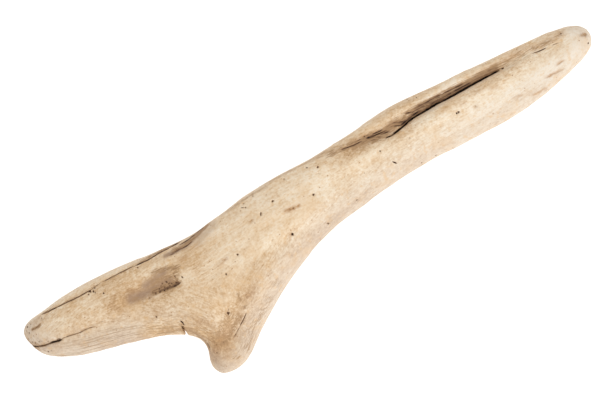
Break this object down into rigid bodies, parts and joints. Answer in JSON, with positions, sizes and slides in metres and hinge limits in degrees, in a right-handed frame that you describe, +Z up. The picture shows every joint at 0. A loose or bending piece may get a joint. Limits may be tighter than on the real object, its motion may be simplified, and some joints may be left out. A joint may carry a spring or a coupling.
{
  "type": "piece of driftwood",
  "caption": "Sea-worn forked piece of driftwood, a long tapering limb with a short rounded stub, lying flat as a natural ornament or prop.",
  "frame": {"origin": "on the ground, under the middle of the piece's box in plan", "axes": "+X along the long limb from its thick end to its thin end, +Y away from the stub, +Z up off the ground it lies on"},
  "size_m": [0.4508, 0.1134, 0.0452],
  "materials": {
    "weathered_wood": "bare, sun-bleached and sea-smoothed, with fine grain, drying splits, stains and worm holes"
  },
  "bodies": {
    "root": {"driftwood": "weathered_wood"}
  },
  "joints": []
}
